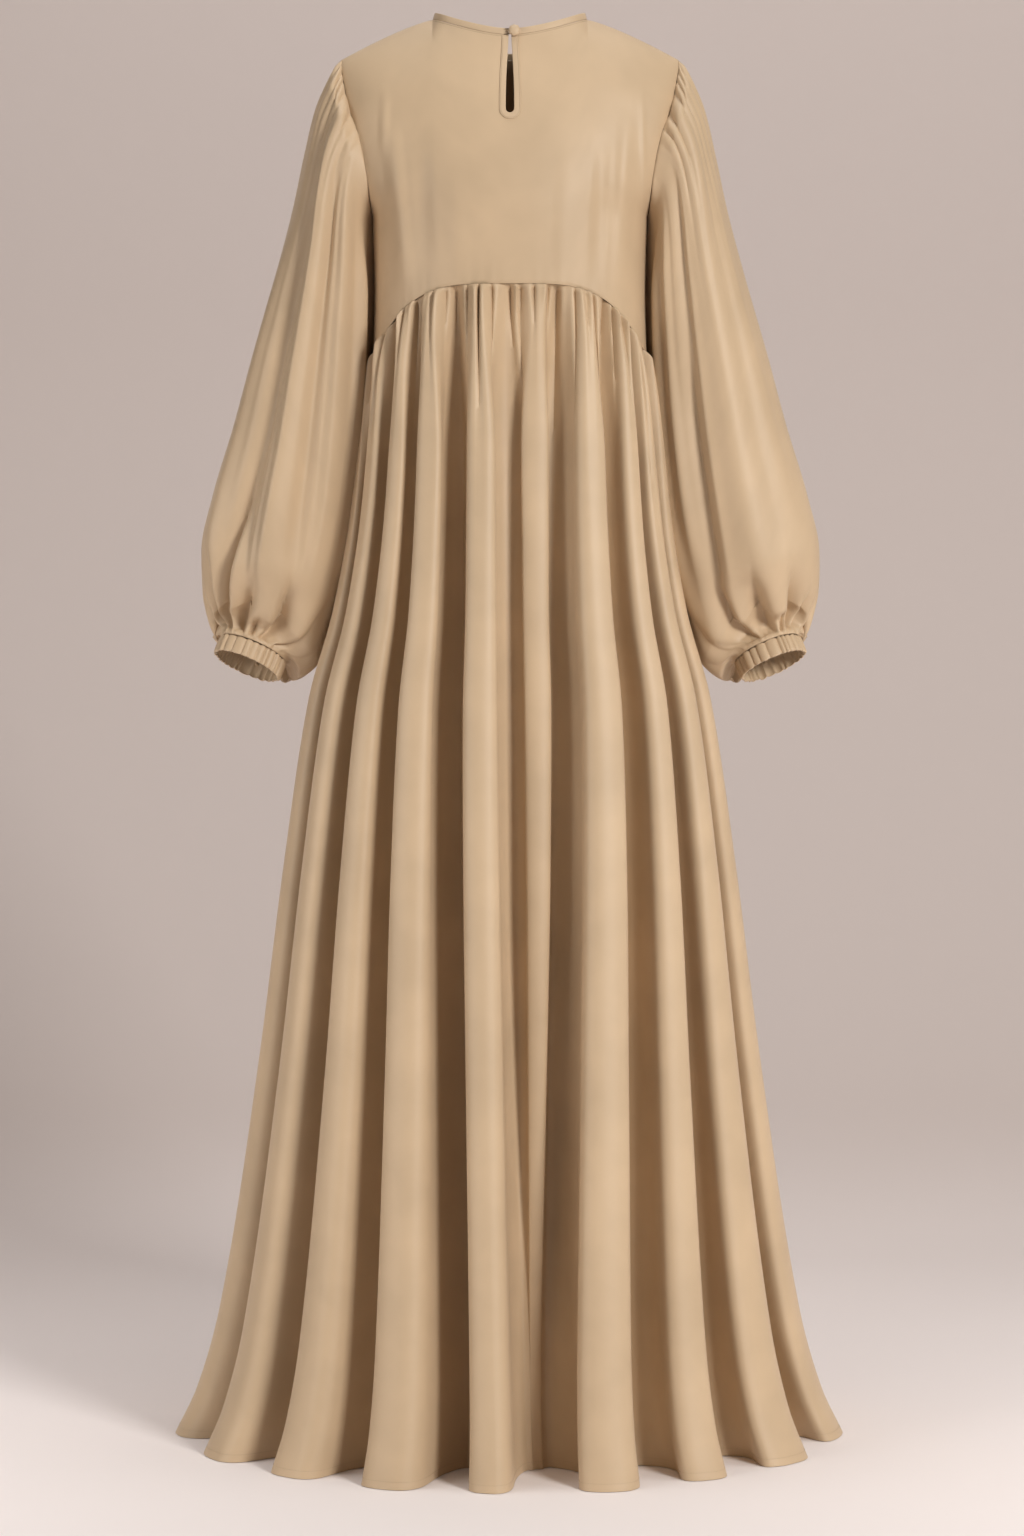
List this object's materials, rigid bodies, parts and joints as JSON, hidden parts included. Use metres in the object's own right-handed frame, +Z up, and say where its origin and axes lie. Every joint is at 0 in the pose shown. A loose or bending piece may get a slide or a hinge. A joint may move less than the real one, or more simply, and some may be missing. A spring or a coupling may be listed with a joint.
{
  "type": "abaya",
  "caption": "Long abaya with an arched empire seam, gathered skirt, full sleeves in ruched cuffs and a back neck keyhole, worn by nobody.",
  "frame": {"origin": "on the centre line, level with the highest points of the neck seam, where the shoulders carry the garment", "axes": "+Z up along the garment's length, +Y out of its back, -Y out of its front, +X to the wearer's left"},
  "size_m": [0.7384, 0.6368, 1.5575],
  "materials": {
    "crepe": "soft satin crepe, sand",
    "binding": "folded satin crepe",
    "button": "cloth-covered",
    "cord": "fine round cord"
  },
  "bodies": {
    "root": {"bodice_back": "crepe", "bodice_front": "crepe", "skirt_back": "crepe", "skirt_front": "crepe", "sleeve_left": "crepe", "sleeve_right": "crepe", "cuff_left": "crepe", "cuff_right": "crepe", "neck_binding": "binding", "keyhole_binding": "binding", "button": "button", "button_loop": "cord"}
  },
  "joints": []
}
